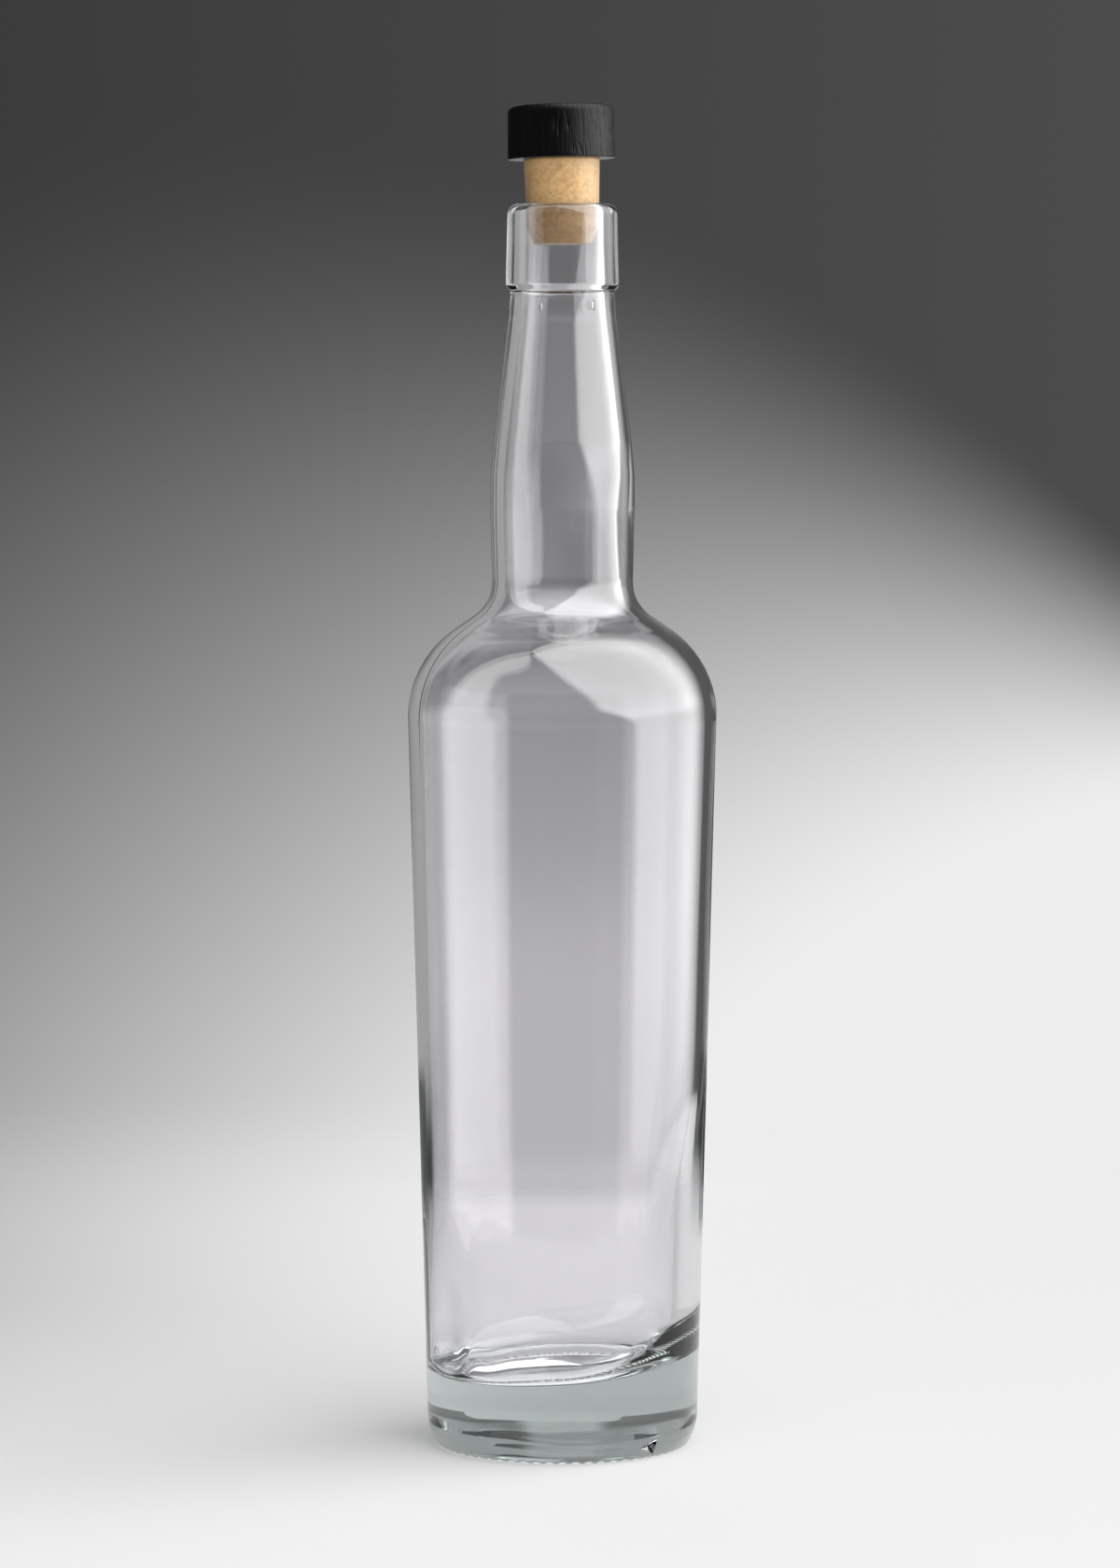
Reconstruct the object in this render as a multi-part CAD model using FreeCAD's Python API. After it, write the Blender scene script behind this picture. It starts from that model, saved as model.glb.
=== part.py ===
"""A clear glass spirits bottle with its T-shaped stopper drawn most of the way out.

Three solids, each written to its own STEP file: the hollow glass bottle, the turned wooden head
of the stopper, and the cork shank that stands in the bore.  Millimetres, +Z up, origin at the
centre of the base on the surface the bottle stands on, -Y to the front, +X to the right.
"""
import FreeCAD, Part
import math
import os

# ---- Glass, outside: corners of the turned profile before they are rounded ----
base_radius = 34.5            # straight side carried down to the table
shoulder_radius = 39.8        # widest corner, where side and shoulder meet
shoulder_level = 200.9        # height of that corner above the table
shoulder_rise = 14.9          # shoulder corner up to the root of the neck
neck_root_radius = 17.8
neck_lower_length = 32.3      # root of the neck up to its widest corner
neck_bulge_radius = 18.6
neck_upper_length = 43.6      # widest corner of the neck up to the straight collar
collar_radius = 13.3
collar_length = 3.5
shoulder_fillet = 27.0
neck_root_fillet = 10.5
neck_bulge_fillet = 116.0
collar_fillet = 50.0

# ---- Glass, finish: the thick ring round the mouth ----
ring_bevel = 1.2              # height of its sloped underside
ring_height = 20.6
ring_lower_radius = 14.45
ring_upper_radius = 13.95
ring_lower_fillet = 0.7
ring_inner_fillet = 0.5
lip_fillet = 2.4
mouth_fillet = 0.8

# ---- Glass, foot: long heel, flat bearing ring, shallow push-up ----
heel_width = 3.7
heel_height = 8.5
heel_lower_fillet = 2.35
heel_upper_fillet = 13.6
bearing_width = 2.2
bearing_fillet = 0.8
pushup_wall_width = 1.8
pushup_wall_height = 2.2
pushup_wall_fillet = 4.0
pushup_depth = 3.4
pushup_crown_radius = 14.0
pushup_crown_fillet = 120.0

# ---- Glass, inside ----
body_wall = 3.0
neck_wall = 3.3
bore_radius = 9.35
bore_fillet = 160.0           # long ease where the bore meets the neck's own inside
floor_level = 21.1            # top of the solid base, at the axis
floor_tilt = 2.6              # degrees, thicker towards +X
floor_fillet = 8.5

# ---- Glass, index notch in the heel ----
notch_azimuth = 39.5          # degrees from the front towards +X
notch_level = 3.3
notch_length = 4.4
notch_radius = 1.5            # at its blunt end; the other end runs out to a point
notch_sink = 0.35             # how far inside the glass the blunt end is centred

# ---- Stopper ----
stopper_lean = 1.2            # degrees, head towards -X
shank_insertion = 10.2        # tip of the shank below the rim
shank_exposed = 11.4          # rim up to the underside of the head
shank_clearance = 0.05        # all round, between shank and bore
shank_swell = 0.35            # how much wider the free cork is under the head
shank_tip_inset = 2.0         # how much narrower its eased tip ends
shank_tip_height = 4.3
shank_tip_fillet = 0.4
head_height = 13.7
head_lower_radius = 13.65
head_upper_radius = 13.4
head_lower_fillet = 0.4
head_upper_fillet = 1.8

# ---- What follows from the sizes above ----
neck_root_level = shoulder_level + shoulder_rise
neck_bulge_level = neck_root_level + neck_lower_length
collar_level = neck_bulge_level + neck_upper_length
ring_foot_level = collar_level + collar_length
ring_level = ring_foot_level + ring_bevel
rim_level = ring_level + ring_height
bearing_outer_radius = base_radius - heel_width
bearing_inner_radius = bearing_outer_radius - bearing_width
shank_radius = bore_radius - shank_clearance
shank_tip_level = rim_level - shank_insertion
head_level = rim_level + shank_exposed

# The straight runs of the wall, from the table up to the collar, and how thick each one is.
WALL_CORNERS = [(base_radius, 0.0),
                (shoulder_radius, shoulder_level),
                (neck_root_radius, neck_root_level),
                (neck_bulge_radius, neck_bulge_level),
                (collar_radius, collar_level)]
WALL_THICKNESSES = [body_wall, body_wall, neck_wall, neck_wall]

# On a quarter ellipse the 45 degree tangent cuts this share off the tangents at its two ends.
ELLIPSE_TANGENT_SHARE = 2 - math.sqrt(2)
SHORTEST_EDGE = 1e-6
OVERSHOOT = 5.0               # how far a cutting shape passes through the face it opens
CENTRE = FreeCAD.Vector(0, 0, 0)
UP = FreeCAD.Vector(0, 0, 1)
BACKWARDS = FreeCAD.Vector(0, 1, 0)


def rounded_outline(corners):
    """Edges through (radius, height, fillet) corners, each corner turned into a tangent arc.

    Where two fillets need more than the side between them holds, both shrink by the same share.
    """
    places = [FreeCAD.Vector(radius, 0, height) for radius, height, _ in corners]
    sides = [end - start for start, end in zip(places, places[1:])]
    half_turns = [0.0] + [before.getAngle(after) / 2 for before, after in zip(sides, sides[1:])] + [0.0]
    tangents = [corner[2] * math.tan(half_turn) for corner, half_turn in zip(corners, half_turns)]
    shares = [side.Length / max(side.Length, first + second)
              for side, first, second in zip(sides, tangents, tangents[1:])]
    edges = []
    pen = places[0]
    for i in range(1, len(places) - 1):
        back = (places[i - 1] - places[i]).normalize()
        ahead = (places[i + 1] - places[i]).normalize()
        tangent = tangents[i] * min(shares[i - 1], shares[i])
        start = places[i] + back * tangent
        end = places[i] + ahead * tangent
        if (start - pen).Length > SHORTEST_EDGE:
            edges.append(Part.LineSegment(pen, start).toShape())
        if tangent > SHORTEST_EDGE:
            middle = places[i] + (back + ahead).normalize() * tangent * math.tan(half_turns[i] / 2)
            edges.append(Part.Arc(start, middle, end).toShape())
        pen = end
    edges.append(Part.LineSegment(pen, places[-1]).toShape())
    return edges


def turned(corners):
    """Solid of revolution about Z, from corners that start and end on the axis."""
    radius, height, _ = corners[0]
    foot = FreeCAD.Vector(radius, 0, height)
    radius, height, _ = corners[-1]
    head = FreeCAD.Vector(radius, 0, height)
    outline = rounded_outline(corners) + [Part.LineSegment(head, foot).toShape()]
    return Part.Face(Part.Wire(outline)).revolve(CENTRE, UP, 360)


def moved_run(run):
    """A straight run of the wall moved towards the axis by its thickness: a point and a direction."""
    start = FreeCAD.Vector(WALL_CORNERS[run][0], 0, WALL_CORNERS[run][1])
    end = FreeCAD.Vector(WALL_CORNERS[run + 1][0], 0, WALL_CORNERS[run + 1][1])
    direction = (end - start).normalize()
    return start + direction.cross(BACKWARDS) * WALL_THICKNESSES[run], direction


def inner_corner(run):
    """Radius and height where the inner faces of one run and the next one meet."""
    point, direction = moved_run(run)
    next_point, next_direction = moved_run(run + 1)
    normal = next_direction.cross(BACKWARDS)
    met = point + direction * ((next_point - point).dot(normal) / direction.dot(normal))
    return met.x, met.z


def inner_radius(run, level):
    """Inside radius of one run at a height."""
    point, direction = moved_run(run)
    return point.x + direction.x * (level - point.z) / direction.z


def inner_level(run, radius):
    """Height at which the inside of one run has a radius."""
    point, direction = moved_run(run)
    return point.z + direction.z * (radius - point.x) / direction.x


def side_radius(level):
    """Outside radius of the straight side at a height."""
    return base_radius + (shoulder_radius - base_radius) * level / shoulder_level


def heel_point(azimuth, level, sink):
    """A point on the heel, or inside it by sink, at degrees from the front towards +X."""
    drop = 1 - level / heel_height
    radius = base_radius - heel_width * (1 - math.sqrt(1 - drop * drop)) - sink
    angle = math.radians(azimuth)
    return FreeCAD.Vector(radius * math.sin(angle), -radius * math.cos(angle), level)


def glass_outside():
    """The bottle without its inside: push-up, bearing ring, heel, body, neck and finish ring."""
    heel_corner_level = heel_height * ELLIPSE_TANGENT_SHARE
    return turned([
        (0.0, pushup_depth, 0.0),
        (pushup_crown_radius, pushup_depth, pushup_crown_fillet),
        (bearing_inner_radius - pushup_wall_width, pushup_wall_height, pushup_wall_fillet),
        (bearing_inner_radius, 0.0, bearing_fillet),
        (base_radius - heel_width * ELLIPSE_TANGENT_SHARE, 0.0, heel_lower_fillet),
        (side_radius(heel_corner_level), heel_corner_level, heel_upper_fillet),
        (shoulder_radius, shoulder_level, shoulder_fillet),
        (neck_root_radius, neck_root_level, neck_root_fillet),
        (neck_bulge_radius, neck_bulge_level, neck_bulge_fillet),
        (collar_radius, collar_level, collar_fillet),
        (collar_radius, ring_foot_level, ring_inner_fillet),
        (ring_lower_radius, ring_level, ring_lower_fillet),
        (ring_upper_radius, rim_level, lip_fillet),
        (0.0, rim_level, 0.0)])


def glass_inside():
    """The room inside: body, neck and bore, closed below by the tilted floor."""
    body_corner = inner_corner(0)
    root_corner = inner_corner(1)
    bulge_corner = inner_corner(2)
    room = turned([
        (0.0, 0.0, 0.0),
        (inner_radius(0, 0.0), 0.0, 0.0),
        (*body_corner, shoulder_fillet - body_wall),
        (*root_corner, neck_root_fillet + neck_wall),
        (*bulge_corner, neck_bulge_fillet - neck_wall),
        (bore_radius, inner_level(3, bore_radius), bore_fillet),
        (bore_radius, rim_level + OVERSHOOT, 0.0),
        (0.0, rim_level + OVERSHOOT, 0.0)])
    reach = shoulder_radius + OVERSHOOT
    box_corner = FreeCAD.Vector(-reach, -reach, floor_level - reach)
    below_floor = Part.makeBox(2 * reach, 2 * reach, reach, box_corner)
    below_floor.rotate(FreeCAD.Vector(0, 0, floor_level), BACKWARDS, -floor_tilt)
    room = room.cut(below_floor)
    floor = min(room.Faces, key=lambda face: face.CenterOfMass.z)
    return room.makeFillet(floor_fillet, floor.Edges)


def index_notch():
    """A tapered scoop along the heel, pointed at its left end and blunt at its right."""
    half_angle = math.degrees(notch_length / 2 / (base_radius - heel_width))
    point = heel_point(notch_azimuth - half_angle, notch_level, 0.0)
    blunt = heel_point(notch_azimuth + half_angle, notch_level, notch_sink)
    along = blunt - point
    return Part.makeCone(0.0, notch_radius, along.Length, point, along)


def glass_bottle():
    """One piece of glass: outside less inside and notch, with the mouth eased."""
    glass = glass_outside().cut(glass_inside()).cut(index_notch())
    mouth = [edge for edge in glass.Edges
             if edge.BoundBox.ZMin > rim_level - mouth_fillet
             and edge.BoundBox.XMax < bore_radius + mouth_fillet]
    return glass.makeFillet(mouth_fillet, mouth)


def leaned(shape):
    """The shape turned about the middle of the mouth, as the drawn stopper leans."""
    shape.rotate(FreeCAD.Vector(0, 0, rim_level), BACKWARDS, -stopper_lean)
    return shape


def stopper_shank():
    """The cork: straight with an eased tip inside the bore, then swelling up to the leaning head."""
    inserted = turned([
        (0.0, shank_tip_level, 0.0),
        (shank_radius - shank_tip_inset, shank_tip_level, shank_tip_fillet),
        (shank_radius, shank_tip_level + shank_tip_height, shank_tip_fillet),
        (shank_radius, rim_level, 0.0),
        (0.0, rim_level, 0.0)])
    mouth_circle = Part.makeCircle(shank_radius, FreeCAD.Vector(0, 0, rim_level))
    head_circle = leaned(Part.makeCircle(shank_radius + shank_swell, FreeCAD.Vector(0, 0, head_level)))
    free = Part.makeLoft([Part.Wire(mouth_circle), Part.Wire(head_circle)], True, True)
    return inserted.fuse(free).removeSplitter()


def stopper_head():
    """The turned wooden head, seated on the end of the cork."""
    top_level = head_level + head_height
    return leaned(turned([
        (0.0, head_level, 0.0),
        (head_lower_radius, head_level, head_lower_fillet),
        (head_upper_radius, top_level, head_upper_fillet),
        (0.0, top_level, 0.0)]))


def main():
    os.makedirs("parts", exist_ok=True)
    for make in (glass_bottle, stopper_shank, stopper_head):
        make().exportStep(os.path.join("parts", make.__name__ + ".step"))


main()
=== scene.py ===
"""Looks of an empty clear glass spirits bottle with its black wooden T-cork drawn most of the way out.

The bottle is one closed lathe mesh with its uneven inside, barred bearing ring, mould seams, index
notch and seed bubbles.  Blender works in metres; the turned outlines are written in millimetres.
"""
import math

import bmesh
import bpy
import numpy as np
from mathutils import Matrix, Vector


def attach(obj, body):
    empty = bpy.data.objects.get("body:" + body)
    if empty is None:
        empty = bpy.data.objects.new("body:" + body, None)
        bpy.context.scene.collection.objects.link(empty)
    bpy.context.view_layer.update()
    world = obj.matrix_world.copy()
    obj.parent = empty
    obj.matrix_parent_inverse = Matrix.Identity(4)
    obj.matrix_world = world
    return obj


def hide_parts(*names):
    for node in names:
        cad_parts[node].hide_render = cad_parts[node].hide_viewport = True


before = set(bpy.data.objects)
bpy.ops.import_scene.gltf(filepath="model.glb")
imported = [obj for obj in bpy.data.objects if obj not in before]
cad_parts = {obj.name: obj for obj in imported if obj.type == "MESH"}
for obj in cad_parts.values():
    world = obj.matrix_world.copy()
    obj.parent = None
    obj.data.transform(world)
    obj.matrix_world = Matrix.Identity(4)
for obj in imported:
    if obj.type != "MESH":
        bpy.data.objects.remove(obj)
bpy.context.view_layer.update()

MM = 0.001

# ---- The turned outside of the glass in millimetres, as in the CAD part.  Pairs are radius, height ----
BASE_RADIUS = 34.5
SHOULDER_RADIUS = 39.8
SHOULDER_LEVEL = 200.9
NECK_ROOT = (17.8, 215.8)
NECK_BULGE = (18.6, 248.1)
COLLAR = (13.3, 291.7)
RING_FOOT_LEVEL = 295.2
RING_LEVEL = 296.4
RING_LOWER_RADIUS = 14.45
RING_UPPER_RADIUS = 13.95
RIM_LEVEL = 317.0
HEEL_WIDTH = 3.7
HEEL_HEIGHT = 8.5
BEARING_INNER_RADIUS = 28.6
PUSHUP_WALL = (1.8, 2.2)
PUSHUP_CROWN = (14.0, 3.4)
ELLIPSE_TANGENT_SHARE = 2 - math.sqrt(2)

PUSHUP_CROWN_FILLET = 120.0
PUSHUP_WALL_FILLET = 4.0
BEARING_FILLET = 0.8
HEEL_LOWER_FILLET = 2.35
HEEL_UPPER_FILLET = 13.6
SHOULDER_FILLET = 27.0
NECK_ROOT_FILLET = 10.5
NECK_BULGE_FILLET = 116.0
COLLAR_FILLET = 50.0
RING_INNER_FILLET = 0.5
RING_LOWER_FILLET = 0.7
LIP_FILLET = 2.4

# ---- The inside, which follows at set walls down to a thick tilted floor ----
BODY_WALL = 3.0
NECK_WALL = 3.3
BORE_RADIUS = 9.35
BORE_FILLET = 160.0
MOUTH_FILLET = 0.8
OUTLINES_MEET = RIM_LEVEL - 2.0
FLOOR_LEVEL = 21.1
FLOOR_TILT = math.radians(2.6)           # up to the right
FLOOR_TIP = math.radians(1.5)            # down to the front
FLOOR_DIP = 0.5
FLOOR_FILLET = 8.5
FLOOR_FILLET_RIGHT = 15.0
FLOOR_FILLET_LEFT = 4.5
FLOOR_FILLET_FRONT = 5.0
CORNER_TOP = 75.0                        # where the change of fillet has died away

# ---- Unevenness of blown glass, and low relief ----
THICK_SIDE = 1.4
THICK_NECK = 0.9
THICK_NECK_LEVEL = 236.0
WALL_WAVES = (0.10, 0.05, 0.02)
LUMPS = 0.45
LUMP_LEVELS = (FLOOR_LEVEL + 6, FLOOR_LEVEL + 17)
HEEL_WAVE = 0.03
HEEL_WAVE_PITCH = 0.42
SEAMS = (math.radians(-67.0), math.radians(113.0))
SEAM_RIDGE = 0.07
SEAM_FOOT = 170.0
SEAM_HALF_ANGLE = math.radians(0.35)
BAR_COUNT = 60
BAR_DEPTH = 0.42
BAR_RADII = (28.9, 32.6)
NOTCH_AZIMUTH = math.radians(39.5)
NOTCH_LEVEL = 3.3
NOTCH_LENGTH = 4.8
NOTCH_RADIUS = 2.0
NOTCH_SINK = 0.7
SEED_RADIUS = 11.4
SEEDS = ((39.0, 291.3, 1.2, 2.8),        # azimuth in degrees, level, width and height
         (26.0, 290.6, 0.7, 2.2),
         (-27.0, 290.8, 0.7, 2.4))

# ---- The stopper, as in the CAD part ----
LEAN = math.radians(1.2)
SHANK_TIP = (7.3, 306.8)
SHANK_TIP_HEIGHT = 4.3
SHANK_TIP_FILLET = 0.4
SHANK_CLEARANCE = 0.05
SHANK_TOP_RADIUS = 9.65
SHANK_BEND_FILLET = 20.0
HEAD_FOOT_LEVEL = RIM_LEVEL + 11.4
HEAD_HEIGHT = 13.7
HEAD_RADII = (13.65, 13.4)
HEAD_LOWER_FILLET = 0.4
HEAD_UPPER_FILLET = 1.8

# ---- How finely the meshes are cut ----
GLASS_SEGMENTS = 480
SHANK_SEGMENTS = 160
HEAD_SEGMENTS = 200
NOTCH_SEGMENTS = 48
SEED_SEGMENTS = 20
SEED_ROWS = 14
ARC_STEP = math.radians(6.0)
SMALL_ARC_STEP = math.radians(14.0)
SMALL_FILLET = 3.0
LARGE_FILLET = 20.0
LONGEST_ROW = 11.0
EDGE_ROW = 0.4
FINE_BELOW = 9.0
FINE_ROW = 0.7
BEARING_BELOW = 1.0
NOTHING = 1e-6
SHARP_ANGLE = math.radians(50)


def side_radius(level):
    """Outside radius of the straight side at a height."""
    return BASE_RADIUS + (SHOULDER_RADIUS - BASE_RADIUS) * level / SHOULDER_LEVEL


def straight(start, end):
    """Points between two ends, close together near the ends, without the first one."""
    length = np.linalg.norm(end - start)
    if length < NOTHING:
        return []
    on_bearing = max(start[1], end[1]) < BEARING_BELOW and min(start[0], end[0]) > BEARING_INNER_RADIUS
    steps = max(1, math.ceil(length / (FINE_ROW if on_bearing else LONGEST_ROW)))
    marks = list(np.linspace(0, 1, steps + 1)[1:])
    if length > 4 * EDGE_ROW:
        marks = [EDGE_ROW / length] + marks[:-1] + [1 - EDGE_ROW / length, 1.0]
    return [start + (end - start) * mark for mark in marks]


def arc_steps(level, fillet, turn):
    """Number of steps for an arc, with short ones low down, where the thick base magnifies them."""
    steps = max(2, math.ceil(turn / (ARC_STEP if fillet > SMALL_FILLET else SMALL_ARC_STEP)))
    if level < FINE_BELOW and fillet < LARGE_FILLET:
        steps = max(steps, math.ceil(turn * fillet / FINE_ROW))
    return steps


def arc(centre, start, turn, steps):
    """Points of an arc from a start round a centre, without the first one."""
    x, y = start - centre
    points = []
    for step in range(1, steps + 1):
        cosine, sine = math.cos(turn * step / steps), math.sin(turn * step / steps)
        points.append(centre + np.array([x * cosine - y * sine, x * sine + y * cosine]))
    return points


def rounded_outline(corners):
    """Points along (radius, height, fillet) corners with every corner turned into a tangent arc."""
    places = [np.array(corner[:2], dtype=float) for corner in corners]
    points = [places[0]]
    pen = places[0]
    for before, corner, after, (_, level, fillet) in zip(places, places[1:], places[2:], corners[1:]):
        back = (before - corner) / np.linalg.norm(before - corner)
        ahead = (after - corner) / np.linalg.norm(after - corner)
        turn = math.pi - math.acos(np.clip(back @ ahead, -1, 1))
        tangent = fillet * math.tan(turn / 2)
        start = corner + back * tangent
        points += straight(pen, start)
        pen = corner + ahead * tangent
        if tangent > 0:
            bisector = (back + ahead) / np.linalg.norm(back + ahead)
            centre = corner + bisector * fillet / math.cos(turn / 2)
            clockwise = back[0] * ahead[1] > back[1] * ahead[0]
            points += arc(centre, start, -turn if clockwise else turn, arc_steps(level, fillet, turn))
    points += straight(pen, places[-1])
    return np.array(points)


def moved_run(start, end, wall):
    """A straight run moved towards the axis by its wall: a point and a unit direction."""
    start, end = np.array(start), np.array(end)
    direction = (end - start) / np.linalg.norm(end - start)
    return start + np.array([-direction[1], direction[0]]) * wall, direction


def crossing(first, second):
    """Where two runs, each a point and a direction, meet."""
    (p, d), (q, e) = first, second
    along = ((q - p)[0] * e[1] - (q - p)[1] * e[0]) / (d[0] * e[1] - d[1] * e[0])
    return p + d * along


def at_level(run, level):
    """Radius of a run at a height."""
    point, direction = run
    return point[0] + direction[0] * (level - point[1]) / direction[1]


def at_radius(run, radius):
    """Height of a run at a radius."""
    point, direction = run
    return point[1] + direction[1] * (radius - point[0]) / direction[0]


SIDE_RUN = moved_run((BASE_RADIUS, 0.0), (SHOULDER_RADIUS, SHOULDER_LEVEL), BODY_WALL)


def outside_outline():
    """From the middle of the push-up, over the foot and up to the mouth."""
    heel_corner = HEEL_HEIGHT * ELLIPSE_TANGENT_SHARE
    return rounded_outline([
        (0.0, PUSHUP_CROWN[1], 0.0),
        (*PUSHUP_CROWN, PUSHUP_CROWN_FILLET),
        (BEARING_INNER_RADIUS - PUSHUP_WALL[0], PUSHUP_WALL[1], PUSHUP_WALL_FILLET),
        (BEARING_INNER_RADIUS, 0.0, BEARING_FILLET),
        (BASE_RADIUS - HEEL_WIDTH * ELLIPSE_TANGENT_SHARE, 0.0, HEEL_LOWER_FILLET),
        (side_radius(heel_corner), heel_corner, HEEL_UPPER_FILLET),
        (SHOULDER_RADIUS, SHOULDER_LEVEL, SHOULDER_FILLET),
        (*NECK_ROOT, NECK_ROOT_FILLET),
        (*NECK_BULGE, NECK_BULGE_FILLET),
        (*COLLAR, COLLAR_FILLET),
        (COLLAR[0], RING_FOOT_LEVEL, RING_INNER_FILLET),
        (RING_LOWER_RADIUS, RING_LEVEL, RING_LOWER_FILLET),
        (RING_UPPER_RADIUS, RIM_LEVEL, LIP_FILLET),
        (BORE_RADIUS, RIM_LEVEL, MOUTH_FILLET),
        (BORE_RADIUS, OUTLINES_MEET, 0.0)])


def inside_outline():
    """From the mouth down the bore and the neck to the middle of the floor."""
    corners = [(BASE_RADIUS, 0.0), (SHOULDER_RADIUS, SHOULDER_LEVEL), NECK_ROOT, NECK_BULGE, COLLAR]
    walls = [BODY_WALL, BODY_WALL, NECK_WALL, NECK_WALL]
    runs = [moved_run(a, b, wall) for a, b, wall in zip(corners, corners[1:], walls)]
    shoulder, root, bulge = [crossing(a, b) for a, b in zip(runs, runs[1:])]
    return rounded_outline([
        (BORE_RADIUS, OUTLINES_MEET, 0.0),
        (BORE_RADIUS, at_radius(runs[3], BORE_RADIUS), BORE_FILLET),
        (*bulge, NECK_BULGE_FILLET - NECK_WALL),
        (*root, NECK_ROOT_FILLET + NECK_WALL),
        (*shoulder, SHOULDER_FILLET - BODY_WALL),
        (at_level(runs[0], FLOOR_LEVEL), FLOOR_LEVEL, FLOOR_FILLET),
        (0.0, FLOOR_LEVEL, 0.0)])


def mesh_piece(name, vertices, faces):
    """A new object in the scene from vertices and faces."""
    mesh = bpy.data.meshes.new(name)
    mesh.from_pydata(vertices, [], faces)
    piece = bpy.data.objects.new(name, mesh)
    bpy.context.scene.collection.objects.link(piece)
    return piece


def lathe(name, rows):
    """Closed smooth mesh from rings of points round the axis, with a single point at each end."""
    count = len(rows[0])
    rings = rows[1:-1]
    vertices = [rows[0][0], *(point for ring in rings for point in ring), rows[-1][0]]
    last = len(vertices) - 1
    end = 1 + (len(rings) - 1) * count
    faces = []
    for j in range(count):
        k = (j + 1) % count
        faces.append((0, 1 + k, 1 + j))
        for i in range(len(rings) - 1):
            low, high = 1 + i * count, 1 + (i + 1) * count
            faces.append((low + j, low + k, high + k, high + j))
        faces.append((last, end + j, end + k))
    piece = mesh_piece(name, vertices, faces)
    piece.data.shade_smooth()
    return piece


def rings_of(outline, angles, shift=None):
    """Rings of points for an outline in millimetres, each moved by shift(radius, height, angles)."""
    rows = []
    for radius, height in outline:
        r, z = np.full(len(angles), radius), np.full(len(angles), height)
        if shift is not None:
            r, z = shift(r, z, angles)
        rows.append(np.stack([r * np.sin(angles), -r * np.cos(angles), z], axis=1) * MM)
    return rows


def even_angles(count):
    """That many angles round the axis, from 0 at the front."""
    return np.arange(count) * 2 * math.pi / count


def glass_angles():
    """Evenly spaced angles, with five more across each mould seam."""
    shares = (-1.0, -0.5, 0.0, 0.5, 1.0)
    extra = [seam + SEAM_HALF_ANGLE * share for seam in SEAMS for share in shares]
    return np.unique(np.concatenate([even_angles(GLASS_SEGMENTS), np.mod(extra, 2 * math.pi)]))


def smoothstep(low, high, value):
    """Smooth rise from 0 to 1 while value goes from low to high."""
    share = np.clip((value - low) / (high - low), 0, 1)
    return share * share * (3 - 2 * share)


def hump(value, middle, width):
    """Bell curve of height 1 round a middle."""
    return np.exp(-((value - middle) / width) ** 2)


def outside_shift(r, z, angle):
    """Mould seams over the shoulder and neck, heel waves, and the bars that the bottle stands on."""
    below_ring = 1 - smoothstep(RING_FOOT_LEVEL - 4, RING_FOOT_LEVEL, z)
    seamed = smoothstep(SEAM_FOOT, SEAM_FOOT + 20, z) * below_ring
    for seam in SEAMS:
        away = np.abs(np.mod(angle - seam + math.pi, 2 * math.pi) - math.pi) / SEAM_HALF_ANGLE
        r = r + SEAM_RIDGE * seamed * np.clip(1 - away, 0, 1)
    on_bearing = smoothstep(BAR_RADII[0], BAR_RADII[0] + 0.5, r)
    on_bearing = on_bearing * (1 - smoothstep(BAR_RADII[1] - 0.8, BAR_RADII[1], r))
    between_bars = smoothstep(-0.3, 0.4, np.cos(BAR_COUNT * angle))
    heel = smoothstep(29, 33, r) * smoothstep(0.8, 2.5, z) * (1 - smoothstep(6.5, 10, z))
    winding = 1.2 * np.sin(3 * angle) + 0.7 * np.sin(7 * angle + 1)
    r = r + HEEL_WAVE * heel * np.sin(z / HEEL_WAVE_PITCH + winding)
    return r, z + BAR_DEPTH * on_bearing * between_bars * (z < 3)


def rounder_corner(u, v, angle):
    """Moves a point, u from the side wall and v above the floor, for the corner's fillet at an angle."""
    across = np.sin(angle)
    fillet = (FLOOR_FILLET + (FLOOR_FILLET_RIGHT - FLOOR_FILLET) * smoothstep(0.0, 1.0, across)
              + (FLOOR_FILLET_LEFT - FLOOR_FILLET) * smoothstep(0.0, 1.0, -across)
              + (FLOOR_FILLET_FRONT - FLOOR_FILLET) * smoothstep(0.0, 1.0, np.cos(angle)))

    def moved(distance, limit):
        """Stretches distances within the fillet and eases back to no change at the limit."""
        near = distance * fillet / FLOOR_FILLET
        far = fillet + (distance - FLOOR_FILLET) * (limit - fillet) / (limit - FLOOR_FILLET)
        return np.where(distance < FLOOR_FILLET, near, np.where(distance < limit, far, distance))

    return moved(u, at_level(SIDE_RUN, FLOOR_LEVEL)), moved(v, CORNER_TOP - FLOOR_LEVEL)


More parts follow.
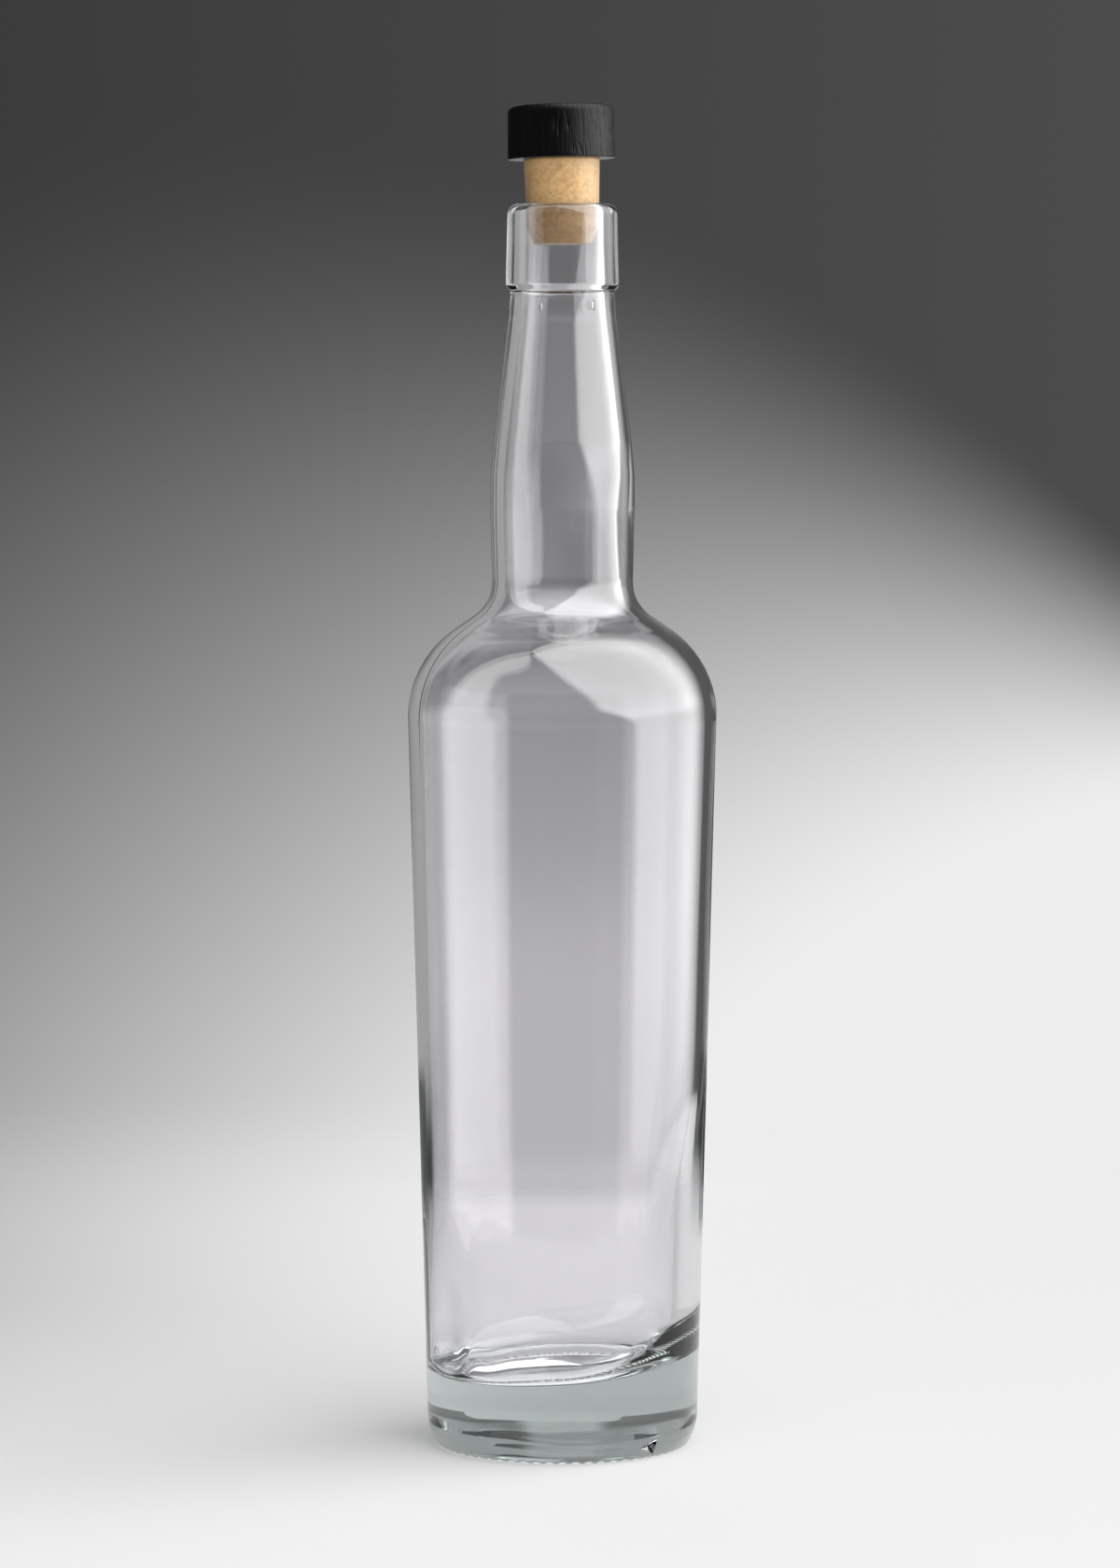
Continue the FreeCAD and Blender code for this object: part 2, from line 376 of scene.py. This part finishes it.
def inside_shift(r, z, angle):
    """The tilted floor, its changing corner and the slightly uneven wall of blown glass."""
    below_shoulder = z < SHOULDER_LEVEL - 10
    u, v = rounder_corner(at_level(SIDE_RUN, z) - r, z - FLOOR_LEVEL, angle)
    z = np.where(below_shoulder, FLOOR_LEVEL + v, z)
    r = np.where(below_shoulder, at_level(SIDE_RUN, z) - u, r)
    on_wall = smoothstep(20, 30, r) * (1 - smoothstep(170, 200, z))
    corner = on_wall * hump(z, LUMP_LEVELS[0], 6)
    rough = corner + 0.7 * on_wall * hump(z, LUMP_LEVELS[1], 8)
    lumps = LUMPS * rough * smoothstep(0.3, 0.9, -np.sin(angle)) * np.sin(11 * angle + z / 1.9)
    thick_side = THICK_SIDE * on_wall * (1 - smoothstep(60, 100, z))
    thick_side = thick_side * smoothstep(0.6, 1.0, np.sin(angle))
    waves = (WALL_WAVES[0] * np.sin(angle + 0.6) * np.sin(z / 55.0 + 1.0)
             + WALL_WAVES[1] * np.sin(2 * angle + z / 38.0)
             + WALL_WAVES[2] * np.sin(5 * angle - z / 21.0))
    thick_neck = THICK_NECK * hump(z, THICK_NECK_LEVEL, 11) * smoothstep(0.1, 1.0, np.sin(angle - 0.4))
    near_floor = 1 - smoothstep(FLOOR_LEVEL + 2, FLOOR_LEVEL + 22, z)
    slope = math.tan(FLOOR_TILT) * np.sin(angle) - math.tan(FLOOR_TIP) * np.cos(angle)
    rise = (r * slope - FLOOR_DIP) * near_floor
    return r - on_wall * waves - lumps - thick_side - thick_neck, z + rise


def seed(azimuth, level, width, height):
    """Closed inward-facing shell of a seed bubble in the neck wall, turned from its top down."""
    slopes = [math.pi * row / SEED_ROWS for row in range(SEED_ROWS + 1)]
    outline = [(width / 2 * math.sin(slope), height / 2 * math.cos(slope)) for slope in slopes]
    shell = lathe("seed", rings_of(outline, even_angles(SEED_SEGMENTS)))
    place = Vector((SEED_RADIUS * math.sin(azimuth), -SEED_RADIUS * math.cos(azimuth), level))
    shell.data.transform(Matrix.Translation(place * MM))
    return shell


def heel_point(azimuth, level, sink):
    """Point at an azimuth and height on the heel, or that far inside it."""
    share = 1 - level / HEEL_HEIGHT
    radius = BASE_RADIUS - HEEL_WIDTH * (1 - math.sqrt(1 - share ** 2)) - sink
    return Vector((radius * math.sin(azimuth), -radius * math.cos(azimuth), level))


def notch_cutter():
    """Cone that lies along the heel, pointed at its left end."""
    half_angle = NOTCH_LENGTH / 2 / (BASE_RADIUS - HEEL_WIDTH)
    point = heel_point(NOTCH_AZIMUTH - half_angle, NOTCH_LEVEL, 0.0)
    blunt = heel_point(NOTCH_AZIMUTH + half_angle, NOTCH_LEVEL, NOTCH_SINK)
    along = blunt - point
    outline = [(0.0, 0.0), (NOTCH_RADIUS, along.length), (0.0, along.length)]
    cutter = lathe("notch_cutter", rings_of(outline, even_angles(NOTCH_SEGMENTS)))
    turned = along.to_track_quat("Z", "Y").to_matrix().to_4x4()
    cutter.data.transform(Matrix.Translation(point * MM) @ turned)
    return cutter


def cut_notch(piece):
    """Cuts the index notch and keeps its edges sharp."""
    cutter = notch_cutter()
    cut = piece.modifiers.new("notch", "BOOLEAN")
    cut.operation = "DIFFERENCE"
    cut.object = cutter
    graph = bpy.context.evaluated_depsgraph_get()
    piece.data = bpy.data.meshes.new_from_object(piece.evaluated_get(graph))
    piece.modifiers.clear()
    bpy.data.objects.remove(cutter)
    piece.data.set_sharp_from_angle(angle=SHARP_ANGLE)


def glass():
    """The bottle: outside and inside turned in one go, with its notch and its seed bubbles."""
    angles = glass_angles()
    outside = rings_of(outside_outline(), angles, outside_shift)
    inside = rings_of(inside_outline()[1:], angles, inside_shift)
    piece = lathe("glass_body", outside + inside)
    cut_notch(piece)
    joined = bmesh.new()
    joined.from_mesh(piece.data)
    for azimuth, level, width, height in SEEDS:
        shell = seed(math.radians(azimuth), level, width, height)
        joined.from_mesh(shell.data)
        bpy.data.objects.remove(shell)
    joined.to_mesh(piece.data)
    joined.free()
    return piece


def shank():
    """The cork: upright and clear of the dry bore, then leaning above the mouth up to the head."""
    fit = BORE_RADIUS - SHANK_CLEARANCE
    outline = rounded_outline([
        (0.0, SHANK_TIP[1], 0.0),
        (*SHANK_TIP, SHANK_TIP_FILLET),
        (fit, SHANK_TIP[1] + SHANK_TIP_HEIGHT, SHANK_TIP_FILLET),
        (fit, RIM_LEVEL, SHANK_BEND_FILLET),
        (SHANK_TOP_RADIUS, HEAD_FOOT_LEVEL, 0.0),
        (0.0, HEAD_FOOT_LEVEL, 0.0)])
    rows = rings_of(outline, even_angles(SHANK_SEGMENTS))
    for row in rows:
        above = np.clip((row[:, 2] - RIM_LEVEL * MM) / ((HEAD_FOOT_LEVEL - RIM_LEVEL) * MM), 0, 1)
        across = row[:, 0].copy()
        row[:, 0] -= np.clip(row[:, 2] - RIM_LEVEL * MM, 0, None) * math.sin(LEAN)
        row[:, 2] += across * math.sin(LEAN) * above
    return lathe("cork_shank", rows)


def head():
    """The black head, leaning to the left about the mouth."""
    top = HEAD_FOOT_LEVEL + HEAD_HEIGHT
    outline = rounded_outline([
        (0.0, HEAD_FOOT_LEVEL, 0.0),
        (HEAD_RADII[0], HEAD_FOOT_LEVEL, HEAD_LOWER_FILLET),
        (HEAD_RADII[1], top, HEAD_UPPER_FILLET),
        (0.0, top, 0.0)])
    piece = lathe("wooden_head", rings_of(outline, even_angles(HEAD_SEGMENTS)))
    mouth = Vector((0, 0, RIM_LEVEL * MM))
    lean = Matrix.Rotation(-LEAN, 4, "Y")
    piece.data.transform(Matrix.Translation(mouth) @ lean @ Matrix.Translation(-mouth))
    return piece


class Graph:
    """Short spellings for the nodes of one node tree."""

    def __init__(self, owner):
        owner.use_nodes = True
        self.nodes, self.links = owner.node_tree.nodes, owner.node_tree.links

    def put(self, socket, value):
        """Links an output to an input, or sets the input to a plain value."""
        if isinstance(value, bpy.types.NodeSocket):
            self.links.new(value, socket)
        else:
            socket.default_value = value

    def math(self, operation, *values):
        """Result of a Math node."""
        node = self.nodes.new("ShaderNodeMath")
        node.operation = operation
        for socket, value in zip(node.inputs, values):
            self.put(socket, value)
        return node.outputs[0]

    def product(self, first, *others):
        """All values multiplied."""
        for other in others:
            first = self.math("MULTIPLY", first, other)
        return first

    def quadratic(self, value, second, first, constant):
        """second * value * value + first * value + constant."""
        line = self.math("MULTIPLY_ADD", value, first, constant)
        return self.math("MULTIPLY_ADD", self.math("MULTIPLY", value, value), second, line)

    def fade(self, value, low, high, start=0.0, end=1.0):
        """Smooth rise from start to end while value goes from low to high."""
        node = self.nodes.new("ShaderNodeMapRange")
        node.interpolation_type = "SMOOTHSTEP"
        names = ("Value", "From Min", "From Max", "To Min", "To Max")
        for name, given in zip(names, (value, low, high, start, end)):
            self.put(node.inputs[name], given)
        return node.outputs["Result"]

    def mix(self, share, first, second):
        """Blend of two numbers."""
        node = self.nodes.new("ShaderNodeMix")
        for socket, value in zip(node.inputs[0:1] + node.inputs[2:4], (share, first, second)):
            self.put(socket, value)
        return node.outputs[0]

    def blend(self, share, first, second):
        """Blend of two colours."""
        node = self.nodes.new("ShaderNodeMix")
        node.data_type = "RGBA"
        for name, value in (("Factor", share), ("A", first), ("B", second)):
            self.put([s for s in node.inputs if s.name == name and s.enabled][0], value)
        return [s for s in node.outputs if s.enabled][0]

    def split(self, vector):
        """The three parts of a vector."""
        node = self.nodes.new("ShaderNodeSeparateXYZ")
        self.links.new(vector, node.inputs[0])
        return node.outputs

    def noise(self, vector, stretch, scale, detail, roughness=0.5):
        """Noise of a place stretched by three factors."""
        place = self.nodes.new("ShaderNodeMapping")
        place.inputs["Scale"].default_value = stretch
        self.links.new(vector, place.inputs["Vector"])
        node = self.nodes.new("ShaderNodeTexNoise")
        node.inputs["Scale"].default_value = scale
        node.inputs["Detail"].default_value = detail
        node.inputs["Roughness"].default_value = roughness
        self.links.new(place.outputs["Vector"], node.inputs["Vector"])
        return node.outputs["Fac"]

    def place(self):
        """Where in the scene a point of the surface is."""
        return self.nodes.new("ShaderNodeNewGeometry").outputs["Position"]

    def light_path(self):
        """Outputs that tell what kind of ray looks."""
        return self.nodes.new("ShaderNodeLightPath").outputs

    def bump(self, height, strength, distance):
        """Normal of a surface raised by height."""
        node = self.nodes.new("ShaderNodeBump")
        node.inputs["Strength"].default_value = strength
        node.inputs["Distance"].default_value = distance
        self.links.new(height, node.inputs["Height"])
        return node.outputs["Normal"]


def principled(name):
    """A new material with its graph and its shader."""
    material = bpy.data.materials.new(name)
    graph = Graph(material)
    return material, graph, graph.nodes["Principled BSDF"]


GLASS_TINT = (0.90, 0.885, 0.905, 1)
GLASS_DEPTH_TINT = (0.246, 0.393, 0.35, 1)
GLASS_DENSITY = 11.6
GLASS_IOR = 1.52

CORK_JOINTS = (0.42, 0.235, 0.083, 1)
CORK_GRANULES = (0.60, 0.37, 0.148, 1)
CORK_CLOUDS = (0.66, 0.42, 0.185, 1)
CORK_PORES = (0.20, 0.10, 0.04, 1)

WOOD_DARK = (0.0005, 0.0005, 0.0007, 1)
WOOD_LIGHT = (0.0024, 0.0021, 0.0032, 1)

EVEN = (1, 1, 1)
FIBRE_STRETCH = (1, 1, 0.07)
WOOD_PORE_STRETCH = (1, 1, 0.16)


def clear_glass():
    """Flint glass, clear at the surface and grey-green through the thick base."""
    material, graph, shader = principled("clear_glass")
    shader.inputs["Base Color"].default_value = GLASS_TINT
    shader.inputs["Transmission Weight"].default_value = 1.0
    shader.inputs["Roughness"].default_value = 0.0
    shader.inputs["IOR"].default_value = GLASS_IOR
    absorption = graph.nodes.new("ShaderNodeVolumeAbsorption")
    absorption.inputs["Color"].default_value = GLASS_DEPTH_TINT
    absorption.inputs["Density"].default_value = GLASS_DENSITY
    graph.links.new(absorption.outputs["Volume"], graph.nodes["Material Output"].inputs["Volume"])
    return material


def cork():
    """Fine agglomerated cork: light granules, darker joints and a few brown pores."""
    material, graph, shader = principled("cork")
    place = graph.place()
    mottle = graph.noise(place, EVEN, 900.0, 3.0, 0.6)
    cloud = graph.noise(place, EVEN, 160.0, 2.0)
    pores = graph.noise(place, EVEN, 1500.0, 2.0)
    tan = graph.blend(graph.fade(mottle, 0.30, 0.72), CORK_JOINTS, CORK_GRANULES)
    tan = graph.blend(graph.fade(cloud, 0.30, 0.75, 0.0, 0.45), tan, CORK_CLOUDS)
    tan = graph.blend(graph.fade(pores, 0.66, 0.74, 0.0, 0.45), tan, CORK_PORES)
    graph.put(shader.inputs["Base Color"], tan)
    shader.inputs["Roughness"].default_value = 0.38
    shader.inputs["Specular IOR Level"].default_value = 0.9
    shader.inputs["Sheen Weight"].default_value = 0.3
    graph.put(shader.inputs["Normal"], graph.bump(mottle, 0.35, 0.0003))
    return material


def black_wood():
    """Black-stained wood with fine, slightly wavy upright grain under a thin satin finish."""
    material, graph, shader = principled("black_wood")
    place = graph.place()
    fibre = graph.noise(place, FIBRE_STRETCH, 1500.0, 4.0, 0.6)
    pores = graph.noise(place, WOOD_PORE_STRETCH, 900.0, 2.0)
    grain = graph.math("SUBTRACT", fibre, graph.fade(pores, 0.55, 0.72, 0.0, 0.8))
    stain = graph.blend(graph.fade(fibre, 0.35, 0.75), WOOD_DARK, WOOD_LIGHT)
    graph.put(shader.inputs["Base Color"], stain)
    graph.put(shader.inputs["Roughness"], graph.fade(fibre, 0.2, 0.8, 0.27, 0.40))
    shader.inputs["Specular IOR Level"].default_value = 0.38
    graph.put(shader.inputs["Normal"], graph.bump(grain, 0.5, 0.0004))
    return material


# ---- The studio.  Azimuths are in degrees, 0 towards the camera and positive to the right.  A band
# is two heights in a direction, where 0 is level and 1 straight up.  A bend is a band with the turn
# of a panel's edge at its foot and at its top ----
RIGHT_PANEL = (58.0, 124.0)
RIGHT_PANEL_RADIANCE = 2.4
RIGHT_FOOT_GAINS = (0.80, 1.42)
RIGHT_UPPER_BAND = (0.02, 0.12)
RIGHT_UPPER_GAIN = 0.62       # how much brighter the panel is higher up
RIGHT_FRONT_BENDS = ((-0.05, 0.28, 0.0, -26.0), (0.30, 1.0, 0.0, -15.0))
LEFT_PANEL = (-100.0, -60.0)
LEFT_PANEL_RADIANCE = 1.80    # as polished glass mirrors it
LEFT_PANEL_FILL = 0.12        # as it lights everything else
LEFT_FOOT_GAINS = (0.55, 1.0)
LEFT_UPPER_BAND = (0.02, 0.30)
LEFT_UPPER_GAIN = 0.80
LEFT_FRONT_BENDS = ((-0.05, 0.15, 7.0, 0.0), (0.68, 0.92, 0.0, 45.0))
FOOT_BAND = (-0.18, -0.10)
PANEL_PARALLAX = 10.0         # how much nearer the front the back wall sees the near panel
BACK_WALL_SURFACES = 3.0      # light from the back wall has passed more glass surfaces than this
PANEL_EDGE = 4.0
PANEL_BACK_EDGE = 12.0
PANEL_APEX = (-0.29, -0.08)   # where overhead the panels would meet

ROOM = 0.11
ROOM_FILL = 0.01
FRONT_FILL = 1.3              # for what is lit after a first bounce, such as the cork behind glass
UPPER_ROOM = 0.75
UPPER_ROOM_FILL = 0.22
UPPER_ROOM_BAND = (0.05, 0.32)
REAR_ROOM_FROM = (120.0, 140.0)
LEFT_WALL = 0.40
LEFT_WALL_FILL = 0.03
LEFT_WALL_FROM = (-90.0, -100.0)
LOWER_LEFT = 0.06
LOWER_LEFT_BAND = (-0.145, -0.13)

BACKDROP_FROM = (164.0, 170.0)
BACKDROP_REACH = 0.105        # how far across from the middle the backdrop still changes
BACKDROP_BEHIND = (0.90, 0.98)
BACKDROP_MIDDLE = (-3.65, 0.46, -0.055)  # soft edge's middle height, quadratic in the place across
BACKDROP_WIDTH = (2.03, -1.64, 0.202)
BACKDROP_TOP = (0.13, 0.058)
BACKDROP_FOOT = 0.855
UPPER_BACK = 0.42
UPPER_BACK_BAND = (0.06, 0.15)
THROUGH = (0.60, 0.16)        # straight through glass: share of the backdrop, and what is added
THROUGH_UPPER_BACK = 0.7

TABLE = 0.62
TABLE_GLOW = 0.20
TABLE_CORNERS = ((-0.50, -0.50), (0.50, 0.80))
# painted shade: the table's colour is darker at its left and back, where less light falls
TABLE_PAINTED_SHADE = 0.6            # how much darker the table is at its left, most of all at the back
TABLE_PAINTED_SHADE_ACROSS = (0.0, -0.34)
TABLE_PAINTED_SHADE_BACK = (-0.15, 0.25)
TABLE_SIDE_FADE = (0.46, 0.38)
TABLE_FRONT_FADE = (-0.44, -0.37)
TABLE_BACK_FADE = (0.75, 0.35)
ROUND_TABLE = (0.47, 0.40)
# painted caustic: extra glow on the table under the bottle, seen through the glass as if light were
# gathered there
PAINTED_CAUSTIC_GLOW = 0.85
PAINTED_CAUSTIC_RADII = (0.034, 0.026)

# pale strip: a painted reflection that glows only for the glass and lights nothing
PALE_CARD_DISTANCE = 0.48
PALE_CARD_SIZE = (0.24, 0.12)
PALE_CARD_GLOW = 0.68
# dark cards: painted dark reflections that only the glass shows
DARK_CARD_AZIMUTH = 151.0
DARK_CARD_DISTANCE = 0.20
DARK_CARD_WIDTH = 0.075
DARK_CARD_TOP = 0.078
RIGHT_CARD_FOOT = 0.020
LEFT_CARD_FOOT = 0.022
DARK_CARD_COLOUR = (0.06, 0.07, 0.07, 1)
DARK_CARD_FADE = 0.012

LAMP_POWER = 4.0
LAMP_SIZE = (0.7, 0.5)
LAMP_PLACE = Vector((0.42, -1.10, 0.42))
LAMP_AIM = Vector((0, 0, 0.32))

CAMERA_PLACE = (-0.00064, -1.370, 0.2623)
CAMERA_DOWN = 3.87
CAMERA_LENS = 123.4
CAMERA_SENSOR = 36.0

BLACK = (0, 0, 0, 1)
WHITE = (1, 1, 1, 1)


def backdrop_level(graph, side, z):
    """Brightness of the backdrop in a direction: a soft diagonal edge, dark above and bright below."""
    middle = graph.quadratic(side, *BACKDROP_MIDDLE)
    width = graph.quadratic(side, *BACKDROP_WIDTH)
    share = graph.math("ADD", graph.math("DIVIDE", graph.math("SUBTRACT", middle, z), width), 0.5)
    return graph.fade(share, 0.0, 1.0, graph.math("MULTIPLY_ADD", side, *BACKDROP_TOP), BACKDROP_FOOT)


def straight_through(graph, path):
    """1 for what is seen through glass without any reflection on the way."""
    bounces = graph.math("ADD", path["Glossy Depth"], path["Diffuse Depth"])
    return graph.math("MULTIPLY", path["Is Transmission Ray"], graph.math("LESS_THAN", bounces, 0.5))


def between(graph, azimuth, low, high, low_edge, high_edge):
    """1 for azimuths between two edges, each with its own softness, and 0 outside."""
    return graph.math("MULTIPLY", graph.fade(graph.math("SUBTRACT", azimuth, low), -low_edge, low_edge),
                      graph.fade(graph.math("SUBTRACT", azimuth, high), high_edge, -high_edge))


def panel_azimuth(graph, x, y, z):
    """Azimuth of a direction, sheared so that edges of equal azimuth meet at the panels' apex."""
    up = graph.math("MAXIMUM", z, 0.0)
    across = graph.math("MULTIPLY_ADD", up, -PANEL_APEX[0], x)
    back = graph.math("MULTIPLY_ADD", up, -PANEL_APEX[1], y)
    return graph.math("DEGREES", graph.math("ARCTAN2", across, graph.math("MULTIPLY", back, -1.0)))


def bent_edge(graph, z, azimuth, bends):
    """Azimuth of a panel's edge at a height."""
    for low, high, start, end in bends:
        azimuth = graph.math("ADD", graph.fade(z, low, high, start, end), azimuth)
    return azimuth


def panel_gain(graph, z, foot_gains, upper_band, upper_gain):
    """How bright a panel is at a height: less at its foot and more higher up."""
    return graph.math("ADD", graph.fade(z, *FOOT_BAND, *foot_gains),
                      graph.fade(z, *upper_band, 0.0, upper_gain))


def room_level(graph, first, polished, azimuth, z):
    """Brightness of the dark room in front, its lighter upper part and the grey wall on the left."""
    room = graph.mix(first, FRONT_FILL, graph.mix(polished, ROOM_FILL, ROOM))
    level = graph.fade(z, *UPPER_ROOM_BAND, room, graph.mix(polished, UPPER_ROOM_FILL, UPPER_ROOM))
    level = graph.mix(graph.fade(graph.math("ABSOLUTE", azimuth), *REAR_ROOM_FROM), level, ROOM)
    wall = graph.fade(z, *LOWER_LEFT_BAND, LOWER_LEFT, LEFT_WALL)
    wall = graph.mix(polished, LEFT_WALL_FILL, wall)
    return graph.mix(graph.fade(azimuth, *LEFT_WALL_FROM), level, wall)


def with_panels(graph, path, polished, azimuth, z, level):
    """Lays the right and the left panel over a brightness."""
    front = bent_edge(graph, z, RIGHT_PANEL[0], RIGHT_FRONT_BENDS)
    from_back_wall = graph.math("GREATER_THAN", path["Transmission Depth"], BACK_WALL_SURFACES)
    front = graph.math("MULTIPLY_ADD", from_back_wall, -PANEL_PARALLAX, front)
    gain = panel_gain(graph, z, RIGHT_FOOT_GAINS, RIGHT_UPPER_BAND, RIGHT_UPPER_GAIN)
    radiance = graph.math("MULTIPLY", graph.mix(polished, 1.0, gain), RIGHT_PANEL_RADIANCE)
    right = between(graph, azimuth, front, RIGHT_PANEL[1], PANEL_EDGE, PANEL_BACK_EDGE)
    level = graph.mix(right, level, radiance)

    front = bent_edge(graph, z, LEFT_PANEL[1], LEFT_FRONT_BENDS)
    gain = panel_gain(graph, z, LEFT_FOOT_GAINS, LEFT_UPPER_BAND, LEFT_UPPER_GAIN)
    radiance = graph.mix(polished, LEFT_PANEL_FILL, graph.math("MULTIPLY", gain, LEFT_PANEL_RADIANCE))
    left = between(graph, azimuth, LEFT_PANEL[0], front, PANEL_EDGE, PANEL_EDGE)
    return graph.mix(left, level, radiance)


def studio():
    """Two tall soft panels that lean together overhead, a dark room in front and a backdrop."""
    world = bpy.data.worlds.new("studio")
    graph = Graph(world)
    x, y, z = graph.split(graph.nodes.new("ShaderNodeTexCoord").outputs["Generated"])
    path = graph.light_path()
    first = graph.math("LESS_THAN", path["Diffuse Depth"], 0.5)
    polished = graph.math("MULTIPLY", path["Is Singular Ray"], first)
    azimuth = panel_azimuth(graph, x, y, z)
    side = graph.math("MAXIMUM", graph.math("MINIMUM", x, BACKDROP_REACH), -BACKDROP_REACH)
    backdrop = backdrop_level(graph, graph.math("MULTIPLY", side, graph.fade(y, *BACKDROP_BEHIND)), z)
    upper_back = graph.fade(z, *UPPER_BACK_BAND, 0.0, UPPER_BACK)

    level = room_level(graph, first, polished, azimuth, z)
    level = graph.mix(graph.fade(graph.math("ABSOLUTE", azimuth), *BACKDROP_FROM), level,
                      graph.math("MAXIMUM", backdrop, upper_back))
    level = with_panels(graph, path, polished, azimuth, z, level)

    through = graph.math("MULTIPLY_ADD", backdrop_level(graph, 0.0, z), *THROUGH)
    through = graph.math("MULTIPLY_ADD", upper_back, THROUGH_UPPER_BACK, through)
    level = graph.mix(straight_through(graph, path), level, through)
    level = graph.mix(path["Is Camera Ray"], level, backdrop)
    graph.put(graph.nodes["Background"].inputs["Color"], level)
    bpy.context.scene.world = world


def sheet(name, corners):
    """A flat piece with four corners and a material of its own."""
    piece = mesh_piece(name, corners, [(0, 1, 2, 3)])
    material, graph, shader = principled(name)
    piece.data.materials.append(material)
    return piece, graph, shader


def table():
    """White table with painted shade, darker at its left and back; seen rays add what the lamps leave
    grey, glass sees a painted caustic glow under the bottle and shows the table as a round one.
    """
    (left, front), (right, back) = TABLE_CORNERS
    corners = [(left, front, 0), (right, front, 0), (right, back, 0), (left, back, 0)]
    piece, graph, shader = sheet("table", corners)
    shader.inputs["Roughness"].default_value = 0.9
    shader.inputs["Specular IOR Level"].default_value = 0.1
    x, y, _ = graph.split(graph.place())
    # painted shade darkens the table's colour at the left and back
    darker = graph.product(graph.fade(x, *TABLE_PAINTED_SHADE_ACROSS, 0.0, TABLE_PAINTED_SHADE),
                           graph.fade(y, *TABLE_PAINTED_SHADE_BACK, 0.1, 1.0))
    white = graph.math("SUBTRACT", 1.0, darker)
    graph.put(shader.inputs["Base Color"], graph.product(white, TABLE))
    path = graph.light_path()
    mirrored = graph.math("MAXIMUM", path["Is Glossy Ray"], path["Is Transmission Ray"])
    seen = graph.math("MAXIMUM", path["Is Camera Ray"], mirrored)
    radius = graph.math("SQRT", graph.math("ADD", graph.product(x, x), graph.product(y, y)))
    # painted caustic glow within a disc under the bottle, on top of the even table glow
    glow_and_painted_caustic = graph.fade(radius, *PAINTED_CAUSTIC_RADII, TABLE_GLOW, TABLE_GLOW + PAINTED_CAUSTIC_GLOW)
    shader.inputs["Emission Color"].default_value = WHITE
    graph.put(shader.inputs["Emission Strength"], graph.product(white, glow_and_painted_caustic, seen))
    soft_sheet = graph.product(graph.fade(y, *TABLE_FRONT_FADE), graph.fade(y, *TABLE_BACK_FADE),
                               graph.fade(graph.math("ABSOLUTE", x), *TABLE_SIDE_FADE))
    disc = graph.fade(radius, *ROUND_TABLE)
    graph.put(shader.inputs["Alpha"], graph.mix(path["Is Camera Ray"], disc, soft_sheet))


def card(name, width, foot, top):
    """Upright sheet that the camera doesn't see, and that neither lights nor shades anything."""
    half = width / 2
    corners = [(-half, 0, foot), (half, 0, foot), (half, 0, top), (-half, 0, top)]
    piece, graph, shader = sheet(name, corners)
    piece.visible_camera = False
    piece.visible_diffuse = False
    piece.visible_shadow = False
    return piece, graph, shader


def dark_card(name, azimuth, foot):
    """Dark low card behind the bottle, a painted dark reflection that only the edges of the glass show.
    """
    piece, graph, shader = card(name, DARK_CARD_WIDTH, foot, DARK_CARD_TOP)
    angle = math.radians(azimuth)
    piece.location = (DARK_CARD_DISTANCE * math.sin(angle), -DARK_CARD_DISTANCE * math.cos(angle), 0)
    piece.rotation_euler = (0, 0, angle)
    shader.inputs["Base Color"].default_value = DARK_CARD_COLOUR
    height = graph.split(graph.place())[2]
    mirrored = graph.math("SUBTRACT", 1.0, straight_through(graph, graph.light_path()))
    shape = graph.product(graph.fade(height, DARK_CARD_TOP, DARK_CARD_TOP - DARK_CARD_FADE),
                          graph.fade(height, foot, foot + DARK_CARD_FADE), mirrored)
    graph.put(shader.inputs["Alpha"], shape)


def pale_card():
    """Pale glowing strip at the back of the table, a painted reflection that only the glass shows,
    behind the foot of the bottle.
    """
    width, height = PALE_CARD_SIZE
    piece, graph, shader = card("low_card", width, 0, height)
    piece.location = (0, PALE_CARD_DISTANCE, 0)
    shader.inputs["Base Color"].default_value = BLACK
    shader.inputs["Specular IOR Level"].default_value = 0.0
    shader.inputs["Emission Color"].default_value = WHITE
    shader.inputs["Emission Strength"].default_value = PALE_CARD_GLOW
    x, _, z = graph.split(graph.place())
    shape = graph.product(graph.fade(z, height, height / 2),
                          graph.fade(graph.math("ABSOLUTE", x), width / 2, width / 4))
    graph.put(shader.inputs["Alpha"], shape)


def front_fill():
    """Soft lamp in front that lights what is rough and shows in nothing that is polished."""
    data = bpy.data.lights.new("front_fill", "AREA")
    data.shape = "RECTANGLE"
    data.size, data.size_y = LAMP_SIZE
    data.energy = LAMP_POWER
    lamp = bpy.data.objects.new("front_fill", data)
    lamp.location = LAMP_PLACE
    lamp.rotation_euler = (LAMP_AIM - LAMP_PLACE).to_track_quat("-Z", "Y").to_euler()
    lamp.visible_camera = False
    lamp.visible_glossy = False
    lamp.visible_transmission = False
    bpy.context.scene.collection.objects.link(lamp)


def camera():
    """Long lens in front of the bottle, at the height of its neck and looking slightly down."""
    data = bpy.data.cameras.new("camera")
    data.lens = CAMERA_LENS
    data.sensor_width = CAMERA_SENSOR
    camera_object = bpy.data.objects.new("camera", data)
    camera_object.location = CAMERA_PLACE
    camera_object.rotation_euler = (math.radians(90 - CAMERA_DOWN), 0, 0)
    bpy.context.scene.collection.objects.link(camera_object)
    bpy.context.scene.camera = camera_object


def dress(piece, node, material):
    """Puts a finished piece in the place of a CAD node."""
    piece.data.materials.clear()
    piece.data.materials.append(material)
    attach(piece, "root")
    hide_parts(node)


camera()
studio()
table()
pale_card()
dark_card("right_card", DARK_CARD_AZIMUTH, RIGHT_CARD_FOOT)
dark_card("left_card", -DARK_CARD_AZIMUTH, LEFT_CARD_FOOT)
front_fill()
dress(glass(), "glass_bottle", clear_glass())
dress(shank(), "stopper_shank", cork())
dress(head(), "stopper_head", black_wood())
bpy.context.scene.view_settings.view_transform = "Standard"
